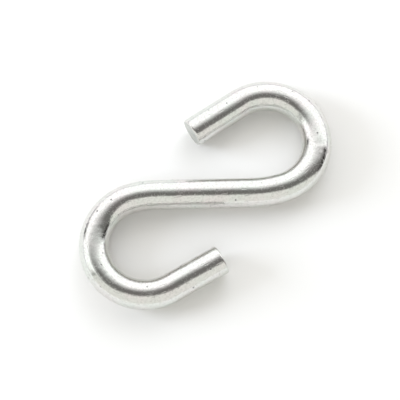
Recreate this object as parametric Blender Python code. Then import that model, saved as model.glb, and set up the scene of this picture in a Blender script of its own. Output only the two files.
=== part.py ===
"""S-hook: one length of round steel wire, cut square and bent into two nearly closed eyes.

It lies flat on its side. X runs along the straight shank, Z is the wire's thickness, and the
origin is under the middle of the hook, on the surface that it lies on.
"""

import math

import bmesh
import bpy
from mathutils import Matrix, Vector

# Driving dimensions, in metres and degrees
WIRE_DIAMETER = 0.0050
EYE_INSIDE_DIAMETER = 0.0120
SHOULDER_RADIUS = 0.0200
TAIL_LENGTH = 0.0097
SHANK_LENGTH = 0.0157
UPPER_SHOULDER_TURN = 15.4
UPPER_MOUTH = 0.0063
LOWER_SHOULDER_TURN = 10.6
LOWER_MOUTH = 0.0068
END_BREAK = 0.00025

# Fineness of the solid
WIRE_SIDES = 32
BEND_STEP = 5.0
BREAK_STEPS = 2
ROUND_PROFILE = 0.5

# Zinc plate over drawn steel
ZINC_COLOUR = (0.78, 0.79, 0.80, 1.0)
ZINC_ROUGHNESS = 0.25
SMOOTH_ANGLE = 35.0

WIRE_RADIUS = WIRE_DIAMETER / 2
EYE_RADIUS = (EYE_INSIDE_DIAMETER + WIRE_DIAMETER) / 2
UP = Vector((0, 0, 1))


def eye_turn(shoulder_turn, mouth):
    """Angle that the eye is rolled through so that its tail stops one mouth away from the shank.

    Heights are counted from the shank's centreline. The tail's inner corner lies at
    eye_height - inner * cos(t) + tail * sin(t), where t is the whole turn from the shank.
    """
    shoulder = math.radians(shoulder_turn)
    eye_height = SHOULDER_RADIUS * (1 - math.cos(shoulder)) + EYE_RADIUS * math.cos(shoulder)
    inner = EYE_INSIDE_DIAMETER / 2
    corner_height = WIRE_RADIUS + mouth
    reach = math.hypot(inner, TAIL_LENGTH)
    whole_turn = math.pi + math.atan2(inner, TAIL_LENGTH) - math.asin((corner_height - eye_height) / reach)
    return math.degrees(whole_turn) - shoulder_turn


class WireBender:
    """Grows a tube from its open end: feed pushes wire out straight, bend rolls it round a pin."""

    def __init__(self, heading):
        self.mesh = bmesh.new()
        self.point = Vector((0, 0, 0))
        self.heading = math.radians(heading)
        across = Matrix.Rotation(self.heading, 4, "Z") @ Matrix.Rotation(math.radians(90), 4, "Y")
        ring = bmesh.ops.create_circle(self.mesh, segments=WIRE_SIDES, radius=WIRE_RADIUS, matrix=across)
        self.end = list({edge for vert in ring["verts"] for edge in vert.link_edges})
        self.cut_ends = [self.end]

    def forward(self):
        return Vector((math.cos(self.heading), math.sin(self.heading), 0))

    def feed(self, length):
        grown = bmesh.ops.extrude_edge_only(self.mesh, edges=self.end)["geom"]
        rim = [item for item in grown if isinstance(item, bmesh.types.BMVert)]
        bmesh.ops.translate(self.mesh, verts=rim, vec=self.forward() * length)
        self.end = [item for item in grown if isinstance(item, bmesh.types.BMEdge)
                    and all(vert in rim for vert in item.verts)]
        self.point += self.forward() * length

    def bend(self, radius, turn):
        """Bends to the left by turn degrees, or to the right where turn is negative."""
        angle = math.radians(turn)
        left = UP.cross(self.forward())
        pin = self.point + left * math.copysign(radius, angle)
        rim = list({vert for edge in self.end for vert in edge.verts})
        steps = max(1, round(abs(turn) / BEND_STEP))
        grown = bmesh.ops.spin(self.mesh, geom=rim + self.end, cent=pin, axis=UP, angle=angle, steps=steps)
        self.end = [item for item in grown["geom_last"] if isinstance(item, bmesh.types.BMEdge)]
        self.point = pin + Matrix.Rotation(angle, 3, "Z") @ (self.point - pin)
        self.heading += angle

    def finish(self):
        """Closes both cut ends, breaks their sharp rims and sets the hook down under its middle."""
        self.cut_ends.append(self.end)
        rims = [edge for end in self.cut_ends for edge in end]
        bmesh.ops.holes_fill(self.mesh, edges=rims)
        bmesh.ops.recalc_face_normals(self.mesh, faces=self.mesh.faces)
        bmesh.ops.bevel(self.mesh, geom=rims, offset=END_BREAK, offset_type="OFFSET",
                        segments=BREAK_STEPS, profile=ROUND_PROFILE, affect="EDGES")
        spread = [[vert.co[axis] for vert in self.mesh.verts] for axis in range(3)]
        low = Vector([min(values) for values in spread])
        high = Vector([max(values) for values in spread])
        middle = Vector(((low.x + high.x) / 2, (low.y + high.y) / 2, low.z))
        bmesh.ops.translate(self.mesh, verts=self.mesh.verts, vec=-middle)
        return self.mesh


def bent_wire():
    """From the lower tail's cut end to the upper tail's, in the order that the wire is bent."""
    upper_turn = eye_turn(UPPER_SHOULDER_TURN, UPPER_MOUTH)
    lower_turn = eye_turn(LOWER_SHOULDER_TURN, LOWER_MOUTH)
    wire = WireBender(heading=lower_turn + LOWER_SHOULDER_TURN)
    wire.feed(TAIL_LENGTH)
    wire.bend(EYE_RADIUS, -lower_turn)
    wire.bend(SHOULDER_RADIUS, -LOWER_SHOULDER_TURN)
    wire.feed(SHANK_LENGTH)
    wire.bend(SHOULDER_RADIUS, UPPER_SHOULDER_TURN)
    wire.bend(EYE_RADIUS, upper_turn)
    wire.feed(TAIL_LENGTH)
    return wire.finish()


def zinc_plate():
    material = bpy.data.materials.new("bright_zinc_plate")
    material.use_nodes = True
    shader = material.node_tree.nodes["Principled BSDF"]
    shader.inputs["Base Color"].default_value = ZINC_COLOUR
    shader.inputs["Metallic"].default_value = 1.0
    shader.inputs["Roughness"].default_value = ZINC_ROUGHNESS
    return material


def build():
    for old in list(bpy.data.objects):
        bpy.data.objects.remove(old)
    shape = bent_wire()
    mesh = bpy.data.meshes.new("s_hook")
    shape.to_mesh(mesh)
    shape.free()
    mesh.shade_smooth()
    mesh.set_sharp_from_angle(angle=math.radians(SMOOTH_ANGLE))
    mesh.materials.append(zinc_plate())
    hook = bpy.data.objects.new("s_hook", mesh)
    bpy.context.collection.objects.link(hook)


build()
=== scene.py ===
# %% [markdown]
# A zinc-plated S-hook, dressed for its looks.
# The real thing is one length of round steel wire, cut square, rolled into an eye at each end and
# then plated bright. The imported CAD part says where it is and how big it is, and this script makes
# the fine mesh, the plating, the table and the light around it. First the frame is loaded, and its
# box is kept for the wire's size.

# %% Load the imported part
import math

import bpy
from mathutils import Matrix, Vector
from mathutils.bvhtree import BVHTree


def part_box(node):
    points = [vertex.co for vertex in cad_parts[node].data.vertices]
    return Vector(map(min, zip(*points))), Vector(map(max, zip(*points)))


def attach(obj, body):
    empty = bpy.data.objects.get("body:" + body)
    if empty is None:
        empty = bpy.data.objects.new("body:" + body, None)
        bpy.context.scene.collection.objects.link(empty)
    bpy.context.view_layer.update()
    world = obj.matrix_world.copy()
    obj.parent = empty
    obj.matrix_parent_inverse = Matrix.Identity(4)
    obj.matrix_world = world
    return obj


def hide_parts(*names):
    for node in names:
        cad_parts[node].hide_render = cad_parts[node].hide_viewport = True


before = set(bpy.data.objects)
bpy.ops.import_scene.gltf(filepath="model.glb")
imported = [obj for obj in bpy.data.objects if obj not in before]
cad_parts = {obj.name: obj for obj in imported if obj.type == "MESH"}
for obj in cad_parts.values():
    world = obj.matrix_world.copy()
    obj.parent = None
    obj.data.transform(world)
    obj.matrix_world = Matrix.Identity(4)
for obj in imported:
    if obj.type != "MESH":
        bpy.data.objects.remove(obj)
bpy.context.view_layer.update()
wire_low, wire_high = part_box("s_hook")

# %% [markdown]
# Sizes come first, in metres and degrees. The hook lies flat, so the height of its box is the
# diameter of the wire. How far each eye turns isn't a free choice. It is what leaves the mouth, the
# gap between the tail's end and the shank, at its size.

# %% Sizes of the wire
WIRE_DIAMETER = wire_high.z - wire_low.z
EYE_INSIDE_DIAMETER = 0.0120
SHOULDER_RADIUS = 0.0200
TAIL_LENGTH = 0.0097
SHANK_LENGTH = 0.0157
UPPER_SHOULDER_TURN = 15.4
UPPER_MOUTH = 0.0063
LOWER_SHOULDER_TURN = 10.6
LOWER_MOUTH = 0.0068
EYE_RADIUS = (EYE_INSIDE_DIAMETER + WIRE_DIAMETER) / 2


def eye_turn(shoulder_turn, mouth):
    """The turn in degrees that leaves this mouth between the cut end's inner edge and the shank."""
    shoulder = math.radians(shoulder_turn)
    eye_height = SHOULDER_RADIUS * (1 - math.cos(shoulder)) + EYE_RADIUS * math.cos(shoulder)
    inner = EYE_INSIDE_DIAMETER / 2
    corner_height = WIRE_DIAMETER / 2 + mouth
    reach = math.hypot(inner, TAIL_LENGTH)
    rise = math.asin((corner_height - eye_height) / reach)
    return math.degrees(math.pi + math.atan2(inner, TAIL_LENGTH) - rise) - shoulder_turn


upper_turn = eye_turn(UPPER_SHOULDER_TURN, UPPER_MOUTH)
lower_turn = eye_turn(LOWER_SHOULDER_TURN, LOWER_MOUTH)
print(f"eye turns: upper {upper_turn:.1f}, lower {lower_turn:.1f} degrees")

# %% [markdown]
# A wire bender works with lengths fed straight and turns made round a pin, so the hook is written
# down in that way: tail, eye, shoulder, shank, shoulder, eye, tail. The same list gives the length
# of wire that the hook takes.

# %% Bends in their order
# Each bend from the lower end on: its name, the straight wire fed before it, its radius and its turn
BENDS = (
    ("Lower Eye", TAIL_LENGTH, EYE_RADIUS, -lower_turn),
    ("Lower Shoulder", 0.0, SHOULDER_RADIUS, -LOWER_SHOULDER_TURN),
    ("Upper Shoulder", SHANK_LENGTH, SHOULDER_RADIUS, UPPER_SHOULDER_TURN),
    ("Upper Eye", 0.0, EYE_RADIUS, upper_turn),
)
first_heading = lower_turn + LOWER_SHOULDER_TURN
wire_length = TAIL_LENGTH + sum(
    feed + radius * math.radians(abs(turn)) for _, feed, radius, turn in BENDS
)
print(f"wire length {1000 * wire_length:.1f} mm")

# %% [markdown]
# Three helpers serve every tree of nodes below. One adds a node, sets it and links it. One turns a
# colour that is written as on a screen, in sRGB hex, into the linear numbers that shaders use. The
# last starts a material that has no nodes yet.

# %% Helpers for nodes, colours and materials
def add_node(tree, kind, inputs=None, **settings):
    """Adds a node with these settings. An input is given as a value, or as the socket that feeds it."""
    node = tree.nodes.new(kind)
    for name, value in settings.items():
        setattr(node, name, value)
    for key, value in (inputs or {}).items():
        if isinstance(value, bpy.types.NodeSocket):
            tree.links.new(value, node.inputs[key])
        else:
            node.inputs[key].default_value = value
    return node


def linear(hex_colour):
    """An sRGB hex colour as linear red, green, blue and alpha."""
    channels = [int(hex_colour[i:i + 2], 16) / 255 for i in (1, 3, 5)]
    return [c / 12.92 if c <= 0.04045 else ((c + 0.055) / 1.055) ** 2.4 for c in channels] + [1.0]


def empty_material(name):
    """A new material without nodes."""
    material = bpy.data.materials.new(name)
    material.use_nodes = True
    material.node_tree.nodes.clear()
    return material


print(f"half of the screen's scale, #808080, is {linear('#808080')[0]:.3f} of the light")

# %% [markdown]
# Bright zinc plate over drawn wire.
# The wire was pulled through a die, which leaves fine lines along it, and then plated and passivated.
# To the eye it is a soft mirror: pale, with a faint rose and green tint, a fine grain that frays the
# edges of every reflection, short scrapes along the wire, and here and there a pit, sunk in and
# painted dark as the shade in its hollow. Patterns read the place that each point had in the straight
# wire, which the mesh keeps as an attribute, so they follow every bend.

# %% Patterns of the zinc plate
MM = 0.001
TINT_MM = 4.0
# Length and width of a drawn line
DRAW_LINE_MM = (6.0, 0.22)
# Real grain is some hundredths of a millimetre, and it is drawn coarser, to show at this distance
GRAIN_MM = 0.30
# Spacing of the scrapes, along and across the wire
SCRAPE_SPACING_MM = (3.0, 0.55)
# Where a scrape starts and where it is full, from its middle, in shares of that spacing
SCRAPE_EDGE = (0.22, 0.12)
PIT_SPACING_MM = 1.9
PIT_RADIUS_MM = 0.20
PIT_FLOOR_RADIUS_MM = 0.08


def zinc_patterns(tree):
    """Tint, drawn lines, grain, scrapes and pits, each at its own size."""
    place = add_node(tree, "ShaderNodeAttribute", attribute_name="straight_wire")
    in_mm = add_node(tree, "ShaderNodeVectorMath", {0: place.outputs["Vector"], "Scale": 1 / MM},
                     operation="SCALE").outputs["Vector"]
    stretched = {}
    for name, (length, width) in (("lines", DRAW_LINE_MM), ("scrapes", SCRAPE_SPACING_MM)):
        stretched[name] = add_node(tree, "ShaderNodeMapping", {
            "Vector": in_mm, "Scale": (1 / length, 1 / width, 1 / width)}).outputs["Vector"]
    tint = add_node(tree, "ShaderNodeTexNoise", {"Vector": in_mm, "Scale": 1 / TINT_MM, "Detail": 2.0})
    lines = add_node(tree, "ShaderNodeTexNoise", {
        "Vector": stretched["lines"], "Scale": 1.0, "Detail": 2.0, "Roughness": 0.6})
    grain = add_node(tree, "ShaderNodeTexNoise", {
        "Vector": in_mm, "Scale": 1 / GRAIN_MM, "Detail": 2.0, "Roughness": 0.7})
    from_scrape = add_node(tree, "ShaderNodeTexVoronoi", {"Vector": stretched["scrapes"], "Scale": 1.0})
    scrape = add_node(tree, "ShaderNodeMapRange", {
        "Value": from_scrape.outputs["Distance"],
        "From Min": SCRAPE_EDGE[0], "From Max": SCRAPE_EDGE[1]}, interpolation_type="SMOOTHSTEP")
    from_pit = add_node(tree, "ShaderNodeTexVoronoi", {"Vector": in_mm, "Scale": 1 / PIT_SPACING_MM})
    pit = add_node(tree, "ShaderNodeMapRange", {
        "Value": from_pit.outputs["Distance"], "From Min": PIT_RADIUS_MM / PIT_SPACING_MM,
        "From Max": PIT_FLOOR_RADIUS_MM / PIT_SPACING_MM}, interpolation_type="SMOOTHSTEP")
    noises = [noise.outputs["Fac"] for noise in (tint, lines, grain)]
    return noises + [scrape.outputs["Result"], pit.outputs["Result"]]


# %% [markdown]
# The patterns then make the finish. They mix its colour, make it rougher where the grain stands up,
# and raise or sink the surface by up to two hundredths of a millimetre, which bends the mirror image
# as real marks do.

# %% Zinc plate finish
ZINC_ROSE = "#E8E4E3"
ZINC_GREEN = "#E2E6E1"
ZINC_DULL = "#D0D0CC"
# Painted shade: the darker colour in the pits
ZINC_PIT_SHADE = "#77777A"
# The values of a noise between which one look turns into the other
ROSE_TO_GREEN = (0.35, 0.65)
BRIGHT_TO_DULL = (0.48, 0.72)
MIRROR_TO_GRAIN = (0.48, 0.70)
MIRROR_ROUGHNESS = 0.07
GRAIN_ROUGHNESS = 0.36
DRAW_LINE_HEIGHT_MM = 0.005
GRAIN_HEIGHT_MM = 0.012
SCRAPE_DEPTH_MM = 0.010
PIT_DEPTH_MM = 0.020


def zinc_plate():
    material = empty_material("bright_zinc_plate_on_drawn_wire")
    tree = material.node_tree
    tint, lines, grain, scrape, pit = zinc_patterns(tree)

    # Colour: tinted zinc, duller where the grain stands up, and painted shade in the pits
    hue = add_node(tree, "ShaderNodeMapRange", {
        "Value": tint, "From Min": ROSE_TO_GREEN[0], "From Max": ROSE_TO_GREEN[1]})
    dull = add_node(tree, "ShaderNodeMapRange", {
        "Value": grain, "From Min": BRIGHT_TO_DULL[0], "From Max": BRIGHT_TO_DULL[1]})
    colour = linear(ZINC_ROSE)
    for share, shade in ((hue.outputs["Result"], ZINC_GREEN), (dull.outputs["Result"], ZINC_DULL),
                         (pit, ZINC_PIT_SHADE)):
        colour = add_node(tree, "ShaderNodeMix", {0: share, 6: colour, 7: linear(shade)},
                          data_type="RGBA").outputs[2]
    rough = add_node(tree, "ShaderNodeMapRange", {
        "Value": grain, "From Min": MIRROR_TO_GRAIN[0], "From Max": MIRROR_TO_GRAIN[1],
        "To Min": MIRROR_ROUGHNESS, "To Max": GRAIN_ROUGHNESS})

    # Height, added up in millimetres
    height = None
    for pattern, rise in ((lines, DRAW_LINE_HEIGHT_MM), (grain, GRAIN_HEIGHT_MM),
                          (scrape, -SCRAPE_DEPTH_MM), (pit, -PIT_DEPTH_MM)):
        height = add_node(tree, "ShaderNodeMath", {0: pattern, 1: rise, 2: height or 0.0},
                          operation="MULTIPLY_ADD").outputs["Value"]
    bump = add_node(tree, "ShaderNodeBump", {"Height": height, "Distance": MM})
    shader = add_node(tree, "ShaderNodeBsdfPrincipled", {
        "Base Color": colour, "Metallic": 1.0, "Roughness": rough.outputs["Result"],
        "Normal": bump.outputs["Normal"]})
    add_node(tree, "ShaderNodeOutputMaterial", {"Surface": shader.outputs["BSDF"]})
    return material


zinc = zinc_plate()
print("finish:", zinc.name)

# %% [markdown]
# The cut ends look different. A cropping blade tears the wire across, so the end is a rough grey face
# with shear lines, and the plating on it stays dull. It gives the eye a soft grey disc beside the
# mirror of the wire.

# %% Sheared end finish
END_GREY = "#DADCD7"
END_DARK = "#B2B5B2"
END_ROUGHNESS = 0.36
# Spacing and length of the shear lines
SHEAR_LINE_MM = (0.22, 1.6)
SHEAR_HEIGHT_MM = 0.06
DARK_TO_GREY = (0.35, 0.65)


def sheared_end():
    material = empty_material("dull_zinc_on_sheared_steel")
    tree = material.node_tree
    place = add_node(tree, "ShaderNodeAttribute", attribute_name="straight_wire")
    spacing, length = SHEAR_LINE_MM
    stretched = add_node(tree, "ShaderNodeMapping", {
        "Vector": place.outputs["Vector"], "Scale": (0.0, 1 / (length * MM), 1 / (spacing * MM))})
    lines = add_node(tree, "ShaderNodeTexNoise", {
        "Vector": stretched.outputs["Vector"], "Scale": 1.0, "Detail": 2.0}).outputs["Fac"]
    share = add_node(tree, "ShaderNodeMapRange", {
        "Value": lines, "From Min": DARK_TO_GREY[0], "From Max": DARK_TO_GREY[1]})
    colour = add_node(tree, "ShaderNodeMix", {
        0: share.outputs["Result"], 6: linear(END_DARK), 7: linear(END_GREY)}, data_type="RGBA")
    height = add_node(tree, "ShaderNodeMath", {0: lines, 1: SHEAR_HEIGHT_MM}, operation="MULTIPLY")
    bump = add_node(tree, "ShaderNodeBump", {"Height": height.outputs["Value"], "Distance": MM})
    shader = add_node(tree, "ShaderNodeBsdfPrincipled", {
        "Base Color": colour.outputs[2], "Metallic": 1.0, "Roughness": END_ROUGHNESS,
        "Normal": bump.outputs["Normal"]})
    add_node(tree, "ShaderNodeOutputMaterial", {"Surface": shader.outputs["BSDF"]})
    return material


end_finish = sheared_end()
print("finish:", end_finish.name)

# %% [markdown]
# The bent wire, by Geometry Nodes.
# A sweep along a drawn curve would do, but a tree of nodes can also do what the bender does: start
# from a straight length of wire and turn it. Two trees follow, one that bends the wire and one that
# marks its surface. Each has named inputs for its sizes, and ends in real geometry with its finish,
# because the export leaves out instances.

# %% Start and end of a Geometry Nodes tree
def tree_with_inputs(name, inputs):
    """An empty tree with these named inputs, each with its kind of socket, and a Geometry output."""
    tree = bpy.data.node_groups.new(name, "GeometryNodeTree")
    for label, kind in inputs.items():
        tree.interface.new_socket(label, in_out="INPUT", socket_type=f"NodeSocket{kind}")
    tree.interface.new_socket("Geometry", in_out="OUTPUT", socket_type="NodeSocketGeometry")
    return tree


def finish_tree(tree, geometry, finish):
    """Makes the geometry real, gives it its finish and hands it out."""
    real = add_node(tree, "GeometryNodeRealizeInstances", {"Geometry": geometry})
    plated = add_node(tree, "GeometryNodeSetMaterial", {
        "Geometry": real.outputs["Geometry"], "Material": finish})
    add_node(tree, "NodeGroupOutput", {"Geometry": plated.outputs["Geometry"]})


# %% [markdown]
# First comes the line that the wire follows. At each small step along it the heading is the first
# heading plus the share of every bend that has been passed, and adding up the steps gives the place.

# %% Bend the wire's line
def bent_line(tree, given):
    """The bent wire's line, on which every ring keeps its distance along the wire."""
    far_end = add_node(tree, "ShaderNodeCombineXYZ", {"X": given["Wire Length"]})
    stock = add_node(tree, "GeometryNodeCurvePrimitiveLine", {"End": far_end.outputs["Vector"]})
    rings = add_node(tree, "GeometryNodeResampleCurve", {
        "Curve": stock.outputs["Curve"], "Count": given["Rings"]}, mode="COUNT")
    along = add_node(tree, "GeometryNodeSplineParameter").outputs["Length"]
    marked = add_node(tree, "GeometryNodeStoreNamedAttribute", {
        "Geometry": rings.outputs["Curve"], "Name": "along", "Value": along}, data_type="FLOAT")

    # The heading half a step further on
    steps = add_node(tree, "ShaderNodeMath", {0: given["Rings"], 1: 1.0}, operation="SUBTRACT")
    step = add_node(tree, "ShaderNodeMath", {0: given["Wire Length"], 1: steps.outputs["Value"]},
                    operation="DIVIDE").outputs["Value"]
    middle = add_node(tree, "ShaderNodeMath", {0: step, 1: 0.5, 2: along},
                      operation="MULTIPLY_ADD").outputs["Value"]
    heading = given["First Heading"]
    for bend, *_ in BENDS:
        share = add_node(tree, "ShaderNodeMapRange", {
            "Value": middle, "From Min": given[f"{bend} Start"], "From Max": given[f"{bend} End"],
            "To Min": 0.0, "To Max": given[f"{bend} Turn"]})
        heading = add_node(tree, "ShaderNodeMath", {
            0: heading, 1: share.outputs["Result"]}).outputs["Value"]

    # The steps, added up
    east = add_node(tree, "ShaderNodeMath", {0: heading}, operation="COSINE")
    north = add_node(tree, "ShaderNodeMath", {0: heading}, operation="SINE")
    forward = add_node(tree, "ShaderNodeCombineXYZ", {
        "X": east.outputs["Value"], "Y": north.outputs["Value"]})
    stride = add_node(tree, "ShaderNodeVectorMath", {0: forward.outputs["Vector"], "Scale": step},
                      operation="SCALE")
    reached = add_node(tree, "GeometryNodeAccumulateField", data_type="FLOAT_VECTOR")
    tree.links.new(stride.outputs["Vector"], reached.inputs[0])
    bent = add_node(tree, "GeometryNodeSetPosition", {
        "Geometry": marked.outputs["Geometry"], "Position": reached.outputs["Trailing"]})
    return bent.outputs["Geometry"]


# %% [markdown]
# Then a round section is swept along that line. Every point remembers where it was in the straight
# wire, how far along it and where on its section, for the finish to use. Last, the hook is put in its
# place: the middle of its box at the origin, its underside on the surface.

# %% Sweep the round section and set the hook down
def swept_wire(tree, line, radius, sides):
    """The solid wire along this line, with the attribute straight_wire."""
    circle = add_node(tree, "GeometryNodeCurvePrimitiveCircle", {"Resolution": sides, "Radius": radius})
    spot = add_node(tree, "GeometryNodeInputPosition")
    section = add_node(tree, "GeometryNodeStoreNamedAttribute", {
        "Geometry": circle.outputs["Curve"], "Name": "section", "Value": spot.outputs["Position"]},
        data_type="FLOAT_VECTOR")
    sweep = add_node(tree, "GeometryNodeCurveToMesh", {
        "Curve": line, "Profile Curve": section.outputs["Geometry"], "Fill Caps": True})
    on_section = add_node(tree, "GeometryNodeInputNamedAttribute", {"Name": "section"},
                          data_type="FLOAT_VECTOR")
    on_length = add_node(tree, "GeometryNodeInputNamedAttribute", {"Name": "along"}, data_type="FLOAT")
    parts = add_node(tree, "ShaderNodeSeparateXYZ", {"Vector": on_section.outputs["Attribute"]})
    straight = add_node(tree, "ShaderNodeCombineXYZ", {
        "X": on_length.outputs["Attribute"], "Y": parts.outputs["X"], "Z": parts.outputs["Y"]})
    placed = add_node(tree, "GeometryNodeStoreNamedAttribute", {
        "Geometry": sweep.outputs["Mesh"], "Name": "straight_wire",
        "Value": straight.outputs["Vector"]}, data_type="FLOAT_VECTOR")
    return placed.outputs["Geometry"]


def set_down(tree, wire, radius):
    """The wire, moved to the hook's place in the frame."""
    box = add_node(tree, "GeometryNodeBoundBox", {"Geometry": wire})
    ends = add_node(tree, "ShaderNodeVectorMath", {0: box.outputs["Min"], 1: box.outputs["Max"]})
    centre = add_node(tree, "ShaderNodeVectorMath", {0: ends.outputs["Vector"], "Scale": -0.5},
                      operation="SCALE")
    lift = add_node(tree, "ShaderNodeCombineXYZ", {"Z": radius})
    shift = add_node(tree, "ShaderNodeVectorMath", {
        0: centre.outputs["Vector"], 1: lift.outputs["Vector"]})
    moved = add_node(tree, "GeometryNodeSetPosition", {
        "Geometry": wire, "Offset": shift.outputs["Vector"]})
    return moved.outputs["Geometry"]


# %% [markdown]
# The first tree puts these steps together. Its inputs are the wire's own sizes and, for each bend,
# where along the wire it starts and ends and how far it turns. The rings are close together, because
# a mirror finish shows every flat.

# %% Geometry Nodes tree that bends the wire
RING_SPACING = 0.00026
WIRE_SIDES = 64

wire_counts = {"Rings": round(wire_length / RING_SPACING) + 1, "Sides": WIRE_SIDES}
wire_sizes = {
    "Wire Length": wire_length,
    "Wire Diameter": WIRE_DIAMETER,
    "First Heading": math.radians(first_heading),
}
passed = 0.0
for bend, feed, radius, turn in BENDS:
    wire_sizes[f"{bend} Start"] = passed + feed
    passed += feed + radius * math.radians(abs(turn))
    wire_sizes[f"{bend} End"] = passed
    wire_sizes[f"{bend} Turn"] = math.radians(turn)


def wire_bending_tree():
    inputs = dict.fromkeys(wire_sizes, "Float") | dict.fromkeys(wire_counts, "Int")
    tree = tree_with_inputs("bend_the_wire", inputs | {"Finish": "Material"})
    given = add_node(tree, "NodeGroupInput").outputs
    radius = add_node(tree, "ShaderNodeMath", {0: given["Wire Diameter"], 1: 0.5},
                      operation="MULTIPLY").outputs["Value"]
    line = bent_line(tree, given)
    wire = swept_wire(tree, line, radius, given["Sides"])
    finish_tree(tree, set_down(tree, wire, radius), given["Finish"])
    return tree


wire_tree = wire_bending_tree()
print("tree:", wire_tree.name, "with", len(wire_tree.nodes), "nodes")

# %% [markdown]
# Bending leaves its marks. Where the rolling tool gripped and let go of each eye, the skin of the
# wire is crumpled into small ridges across it. Both eyes are taken to be rolled on the same tool, so
# the marks are placed by their distance in metres from the nearer cut end.

# %% Places of the tool marks
MARK_DISTANCES = (0.022, 0.0298)


def mark_strength(tree, along, given):
    """How strongly a point this far along the wire is marked, from 0 to 1."""
    rest = add_node(tree, "ShaderNodeMath", {0: given["Wire Length"], 1: along}, operation="SUBTRACT")
    from_end = add_node(tree, "ShaderNodeMath", {0: along, 1: rest.outputs["Value"]},
                        operation="MINIMUM").outputs["Value"]
    marked = None
    for distance in MARK_DISTANCES:
        off = add_node(tree, "ShaderNodeMath", {0: from_end, 1: distance}, operation="SUBTRACT")
        off = add_node(tree, "ShaderNodeMath", {0: off.outputs["Value"]}, operation="ABSOLUTE")
        mark = add_node(tree, "ShaderNodeMapRange", {
            "Value": off.outputs["Value"], "From Min": given["Mark Reach"], "From Max": 0.0},
            interpolation_type="SMOOTHSTEP").outputs["Result"]
        marked = mark if marked is None else add_node(
            tree, "ShaderNodeMath", {0: marked, 1: mark}, operation="MAXIMUM").outputs["Value"]
    return marked


# %% [markdown]
# A second tree pushes the surface in and out along its normal: ridges at the marks, and faint lumps
# all over the wire. It is some hundredths of a millimetre, which is little to measure but plain to
# see in a mirror.

# %% Geometry Nodes tree that marks the wire
# Length and width of a ridge and of a lump
RIDGE_MM = (0.7, 2.2)
LUMP_MM = (2.0, 1.2)

mark_sizes = {
    "Wire Length": wire_length,
    "Mark Reach": 0.0022,
    "Ridge Height": 0.00008,
    "Lump Height": 0.00003,
}


def tool_mark_tree():
    inputs = {"Geometry": "Geometry"} | dict.fromkeys(mark_sizes, "Float")
    tree = tree_with_inputs("mark_the_wire", inputs | {"Finish": "Material"})
    given = add_node(tree, "NodeGroupInput").outputs
    place = add_node(tree, "GeometryNodeInputNamedAttribute", {"Name": "straight_wire"},
                     data_type="FLOAT_VECTOR").outputs["Attribute"]
    along = add_node(tree, "ShaderNodeSeparateXYZ", {"Vector": place}).outputs["X"]
    marked = mark_strength(tree, along, given)

    # Ridges across the wire at the marks, and lumps everywhere
    ridge_height = add_node(tree, "ShaderNodeMath", {0: marked, 1: given["Ridge Height"]},
                            operation="MULTIPLY").outputs["Value"]
    rise = None
    for (length, width), height in ((RIDGE_MM, ridge_height), (LUMP_MM, given["Lump Height"])):
        scaled = add_node(tree, "ShaderNodeVectorMath", {
            0: place, 1: (1 / (length * MM), 1 / (width * MM), 1 / (width * MM))}, operation="MULTIPLY")
        noise = add_node(tree, "ShaderNodeTexNoise", {
            "Vector": scaled.outputs["Vector"], "Scale": 1.0, "Detail": 1.0})
        even = add_node(tree, "ShaderNodeMath", {0: noise.outputs["Fac"], 1: 0.5}, operation="SUBTRACT")
        rise = add_node(tree, "ShaderNodeMath", {0: even.outputs["Value"], 1: height, 2: rise or 0.0},
                        operation="MULTIPLY_ADD").outputs["Value"]
    outward = add_node(tree, "GeometryNodeInputNormal").outputs["Normal"]
    push = add_node(tree, "ShaderNodeVectorMath", {0: outward, "Scale": rise}, operation="SCALE")
    pushed = add_node(tree, "GeometryNodeSetPosition", {
        "Geometry": given["Geometry"], "Offset": push.outputs["Vector"]})
    finish_tree(tree, pushed.outputs["Geometry"], given["Finish"])
    return tree


mark_tree = tool_mark_tree()
print("tree:", mark_tree.name, "with", len(mark_tree.nodes), "nodes")

# %% [markdown]
# Both trees are run once on an empty mesh, with their inputs set by each socket's identifier, and the
# result is kept as a plain mesh. A small bevel breaks the sharp rims that the cutter left, and the
# two flat ends get their own finish. How far the mesh strays from the CAD solid is measured.

# %% Make the hook's mesh
END_BREAK = 0.00025
RIM_STEPS = 4
RIM_ANGLE = 60.0


def bent_wire():
    maker = bpy.data.objects.new("wire_maker", bpy.data.meshes.new("empty"))
    bpy.context.scene.collection.objects.link(maker)
    for tree, sizes in ((wire_tree, wire_sizes | wire_counts), (mark_tree, mark_sizes)):
        values = sizes | {"Finish": zinc}
        step = maker.modifiers.new(tree.name, "NODES")
        step.node_group = tree
        for item in tree.interface.items_tree:
            if item.in_out == "INPUT" and item.name in values:
                step[item.identifier] = values[item.name]
    rim = maker.modifiers.new("Break the rims", "BEVEL")
    rim.width = END_BREAK
    rim.segments = RIM_STEPS
    rim.limit_method = "ANGLE"
    rim.angle_limit = math.radians(RIM_ANGLE)
    graph = bpy.context.evaluated_depsgraph_get()
    mesh = bpy.data.meshes.new_from_object(maker.evaluated_get(graph))
    bpy.data.objects.remove(maker)

    # Only the flat ends have more than four corners
    mesh.materials.append(end_finish)
    for face in mesh.polygons:
        cut_end = len(face.vertices) > 4
        face.use_smooth = not cut_end
        face.material_index = 1 if cut_end else 0
    hook = bpy.data.objects.new("zinc_wire_hook", mesh)
    bpy.context.scene.collection.objects.link(hook)
    return hook


hook = bent_wire()
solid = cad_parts["s_hook"].data
cad_surface = BVHTree.FromPolygons(
    [v.co for v in solid.vertices], [list(p.vertices) for p in solid.polygons])
away = max(cad_surface.find_nearest(v.co)[3] for v in hook.data.vertices)
print(f"hook: {len(hook.data.polygons)} faces, at most {1000 * away:.3f} mm from the CAD solid")

# %% [markdown]
# The table and the studio.
# The photograph's background is a white sheet that is lit until it is almost blank, with only a soft
# shadow beside the wire. A matte white plane will do. It is a little warm in colour, because the
# lamps are a little cool.

# %% Floor
FLOOR_WIDTH = 1.6
SHEET_WHITE = "#F4F2EC"
SHEET_ROUGHNESS = 0.9
SHEET_SHEEN = 0.1


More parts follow.
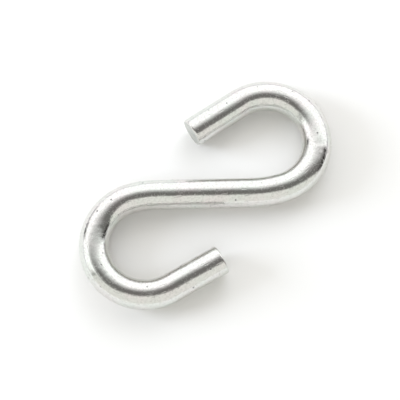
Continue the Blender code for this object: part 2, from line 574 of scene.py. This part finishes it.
def white_sheet():
    material = empty_material("matte_white_paper_sheet")
    tree = material.node_tree
    shader = add_node(tree, "ShaderNodeBsdfPrincipled", {
        "Base Color": linear(SHEET_WHITE), "Roughness": SHEET_ROUGHNESS,
        "Specular IOR Level": SHEET_SHEEN})
    add_node(tree, "ShaderNodeOutputMaterial", {"Surface": shader.outputs["BSDF"]})
    return material


def level_square(name, reach, material):
    """A level square that reaches this far from the origin to each side."""
    corners = [(-reach, -reach, 0), (reach, -reach, 0), (reach, reach, 0), (-reach, reach, 0)]
    mesh = bpy.data.meshes.new(name)
    mesh.from_pydata(corners, [], [(0, 1, 2, 3)])
    mesh.materials.append(material)
    square = bpy.data.objects.new(name, mesh)
    bpy.context.scene.collection.objects.link(square)
    return square


floor = level_square("floor", FLOOR_WIDTH / 2, white_sheet())
print(f"floor: {1000 * FLOOR_WIDTH:.0f} mm wide")

# %% [markdown]
# Polished wire shows what stands round it, so most of the picture is the studio. Along every bend
# run the same bands: a bright one from the window side to the north, a dark one from a card that
# hangs overhead, and a light grey one from the pale wall to the south. The room is drawn in the
# world's nodes by direction, on a flat map as seen from the hook, where the zenith is the middle and
# the horizon is a circle of radius one. An open doorway to the east and the frames of the windows are
# straight dark strips of that map, and they come first.

# %% Dark strips of the room
# Each strip: its heading, its right edge, left edge and start from clear to full, and its darkness
DARK_STRIPS = (
    ("open doorway", -2.0, (-0.30, -0.17), (0.22, 0.12), (0.36, 0.68), 1.0),
    ("window frame west", 154.0, (-0.13, -0.06), (0.09, 0.02), (0.62, 0.80), 0.90),
    ("curtain west", 141.0, (-0.26, -0.10), (0.26, 0.10), (0.62, 0.90), 0.50),
    ("wall corner", 196.0, (-0.06, -0.01), (0.06, 0.01), (0.42, 0.55), 0.65),
    ("window frame east", 22.0, (-0.18, -0.06), (0.18, 0.06), (0.78, 1.00), 0.35),
)


def dark_strips(tree, spot):
    """How dark a spot of the map is, from 0 to 1, by the darkest strip that covers it."""
    dark = None
    for name, heading, right, left, start, share in DARK_STRIPS:
        turn = math.radians(heading)
        along = add_node(tree, "ShaderNodeVectorMath", {
            0: spot, 1: (math.cos(turn), math.sin(turn), 0)}, operation="DOT_PRODUCT").outputs["Value"]
        across = add_node(tree, "ShaderNodeVectorMath", {
            0: spot, 1: (-math.sin(turn), math.cos(turn), 0)}, operation="DOT_PRODUCT").outputs["Value"]
        strip = share
        for value, (clear, full) in ((across, right), (across, left), (along, start)):
            strip = add_node(tree, "ShaderNodeMapRange", {
                "Value": value, "From Min": clear, "From Max": full, "To Max": strip},
                interpolation_type="SMOOTHSTEP", label=name).outputs["Result"]
        dark = strip if dark is None else add_node(
            tree, "ShaderNodeMath", {0: dark, 1: strip}, operation="MAXIMUM").outputs["Value"]
    return dark


print("dark strips:", ", ".join(strip[0] for strip in DARK_STRIPS))

# %% [markdown]
# The rest of the room is simple: pale wall to the south, bright window to the north and dimmer
# towards the horizon, with the dark strips over both. The camera sees blank white in its place, past
# the far edge of the sheet.

# %% Room
# A window is brighter than white, which is 1
WINDOW_LIGHT = 1.38
WINDOW_AT_HORIZON = "#C1BDC8"
# How high above the horizon the window is at its full light, as a share of the zenith's height
WINDOW_FULL_HEIGHT = 0.20
PALE_WALL = "#F5F4EF"
# Where the wall ends and where the window is full, from south at -1 to north at 1
WALL_TO_WINDOW = (-0.35, 0.05)
STRIP_DARK = "#3C3938"
# Below this height the map isn't spread any further
LOWEST_MAPPED = -0.5


def room():
    world = bpy.data.worlds.new("room")
    world.use_nodes = True
    tree = world.node_tree
    tree.nodes.clear()
    direction = add_node(tree, "ShaderNodeTexCoord").outputs["Generated"]
    sides = add_node(tree, "ShaderNodeSeparateXYZ", {"Vector": direction}).outputs
    above = add_node(tree, "ShaderNodeMath", {0: sides["Z"], 1: LOWEST_MAPPED}, operation="MAXIMUM")
    depth = add_node(tree, "ShaderNodeMath", {0: above.outputs["Value"], 1: 1.0})
    shrink = add_node(tree, "ShaderNodeMath", {0: 1.0, 1: depth.outputs["Value"]}, operation="DIVIDE")
    spot = add_node(tree, "ShaderNodeVectorMath", {0: direction, "Scale": shrink.outputs["Value"]},
                    operation="SCALE")

    # Window and wall, and the dark strips over them
    height = add_node(tree, "ShaderNodeMapRange", {
        "Value": sides["Z"], "From Min": 0.0, "From Max": WINDOW_FULL_HEIGHT})
    northward = add_node(tree, "ShaderNodeMapRange", {
        "Value": sides["Y"], "From Min": WALL_TO_WINDOW[0], "From Max": WALL_TO_WINDOW[1]},
        interpolation_type="SMOOTHSTEP")
    dark = dark_strips(tree, spot.outputs["Vector"])
    window = add_node(tree, "ShaderNodeMix", {
        0: height.outputs["Result"], 6: linear(WINDOW_AT_HORIZON), 7: [WINDOW_LIGHT] * 3 + [1.0]},
        data_type="RGBA")
    walls = add_node(tree, "ShaderNodeMix", {
        0: northward.outputs["Result"], 6: linear(PALE_WALL), 7: window.outputs[2]}, data_type="RGBA")
    seen = add_node(tree, "ShaderNodeMix", {0: dark, 6: walls.outputs[2], 7: linear(STRIP_DARK)},
                    data_type="RGBA")

    # The room for the hook and the sheet, and blank white for the camera
    rays = add_node(tree, "ShaderNodeLightPath").outputs
    light = add_node(tree, "ShaderNodeBackground", {"Color": seen.outputs[2]})
    blank = add_node(tree, "ShaderNodeBackground", {"Color": linear("#FFFFFF")})
    shown = add_node(tree, "ShaderNodeMixShader", {
        0: rays["Is Camera Ray"], 1: light.outputs["Background"], 2: blank.outputs["Background"]})
    add_node(tree, "ShaderNodeOutputWorld", {"Surface": shown.outputs["Shader"]})
    return world


scene = bpy.context.scene
scene.world = room()
scene.view_settings.view_transform = "Standard"
print("room:", len(scene.world.node_tree.nodes), "nodes")

# %% [markdown]
# Over the hook hangs a dark card, as photographers hang one over shiny things to give them a dark
# line. It is close by, so each eye shows it a little differently. Its south edge is cut at a slant,
# and its edges are frayed, mostly to the north, which softens the line on its window side. The card
# takes no light itself. It glows at a fixed grey, which is painted light standing for a dark card in a
# lit room. The camera looks through it, and the lamps shine through it.

# %% Dark card
CARD_HEIGHT = 0.20
# Painted light: the grey that the card gives off instead of being lit
CARD_REACH = 0.60
CARD_GLOW_GREY = "#777573"
# Each edge of the card: the heading it is measured along, and where it is clear and full in metres
CARD_EDGES = (
    ("south", 84.0, -0.148, -0.079),
    ("north", 90.0, 0.136, -0.022),
    ("west", 0.0, -0.280, -0.110),
    ("east", 0.0, 0.590, 0.385),
)


def frayed_card():
    material = empty_material("dark_card_with_frayed_edges")
    tree = material.node_tree
    place = add_node(tree, "ShaderNodeTexCoord").outputs["Object"]
    share = 1.0
    for name, heading, clear, full in CARD_EDGES:
        turn = math.radians(heading)
        along = add_node(tree, "ShaderNodeVectorMath", {
            0: place, 1: (math.cos(turn), math.sin(turn), 0)}, operation="DOT_PRODUCT")
        share = add_node(tree, "ShaderNodeMapRange", {
            "Value": along.outputs["Value"], "From Min": clear, "From Max": full, "To Max": share},
            interpolation_type="SMOOTHSTEP", label=name).outputs["Result"]
    nothing = add_node(tree, "ShaderNodeBsdfTransparent")
    # The card glows at its grey: painted light, not lit
    grey = add_node(tree, "ShaderNodeEmission", {"Color": linear(CARD_GLOW_GREY)})
    shown = add_node(tree, "ShaderNodeMixShader", {
        0: share, 1: nothing.outputs["BSDF"], 2: grey.outputs["Emission"]})
    add_node(tree, "ShaderNodeOutputMaterial", {"Surface": shown.outputs["Shader"]})
    return material


card = level_square("dark_card", CARD_REACH, frayed_card())
card.location.z = CARD_HEIGHT
card.visible_camera = False
card.visible_shadow = False
print(f"card: {1000 * CARD_HEIGHT:.0f} mm above the sheet")

# %% [markdown]
# A soft lamp low down in the west, and a weaker one to the north-north-east, put the shadow where the
# photograph has it: close under the wire, to the south-east. A third one, high up in the south,
# lightens that shadow, apart from a dark line where the wire meets the sheet. Their light is as cool
# as daylight from a window. The metal would show them as more white patches in its bands, so they are
# left out of its mirror image.

# %% Soft lamps
LAMP_DISTANCE = 1.2
LAMP_COLOUR = "#E4EDFF"
# Each lamp: its direction from east, its height in degrees, its angular radius and its brightness
LAMPS = (
    ("soft_lamp_west", 173.0, 17.0, 15.0, 12.6),
    ("soft_lamp_north", 72.0, 30.0, 20.0, 2.0),
    ("soft_lamp_south", 275.0, 60.0, 14.0, 2.1),
)


def towards(azimuth, elevation):
    """The unit vector at this azimuth from east and this height, both in degrees."""
    turn, lift = math.radians(azimuth), math.radians(elevation)
    return Vector((math.cos(lift) * math.cos(turn), math.cos(lift) * math.sin(turn), math.sin(lift)))


for name, azimuth, elevation, spread, brightness in LAMPS:
    lamp = bpy.data.lights.new(name, "AREA")
    lamp.shape = "DISK"
    lamp.color = linear(LAMP_COLOUR)[:3]
    lamp.size = 2 * LAMP_DISTANCE * math.tan(math.radians(spread))
    # A flat lamp gives off pi times its brightness from each square metre
    lamp.energy = brightness * math.pi * math.pi * (lamp.size / 2) ** 2
    stand = bpy.data.objects.new(name, lamp)
    stand.location = LAMP_DISTANCE * towards(azimuth, elevation)
    stand.rotation_euler = (-stand.location).to_track_quat("-Z", "Y").to_euler()
    stand.visible_glossy = False
    scene.collection.objects.link(stand)
    print(f"{name}: {1000 * lamp.size:.0f} mm wide, {lamp.energy:.1f} W")

# %% [markdown]
# The camera looks down on the table from the south, a little off straight down, through a long lens.
# It stands close by, so its nearest distance is set well below the usual one.

# %% Camera
VIEW_TARGET = Vector((-0.00115, -0.00038, 0.0))
VIEW_DISTANCE = 0.225
VIEW_ELEVATION = 71.8
VIEW_AZIMUTH = -91.46
SENSOR_WIDTH_MM = 36.0
LENS_MM = 119.4
NEAREST_SEEN = 0.005

towards_camera = towards(VIEW_AZIMUTH, VIEW_ELEVATION)
lens = bpy.data.cameras.new("camera")
lens.sensor_width = SENSOR_WIDTH_MM
lens.lens = LENS_MM
lens.clip_start = NEAREST_SEEN
camera = bpy.data.objects.new("camera", lens)
camera.location = VIEW_TARGET + VIEW_DISTANCE * towards_camera
camera.rotation_euler = (-towards_camera).to_track_quat("-Z", "Y").to_euler()
scene.collection.objects.link(camera)
scene.camera = camera
print("camera at", [round(1000 * place, 1) for place in camera.location], "mm")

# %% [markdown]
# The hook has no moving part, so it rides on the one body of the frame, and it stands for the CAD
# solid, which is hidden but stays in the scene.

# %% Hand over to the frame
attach(hook, "root")
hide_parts("s_hook")
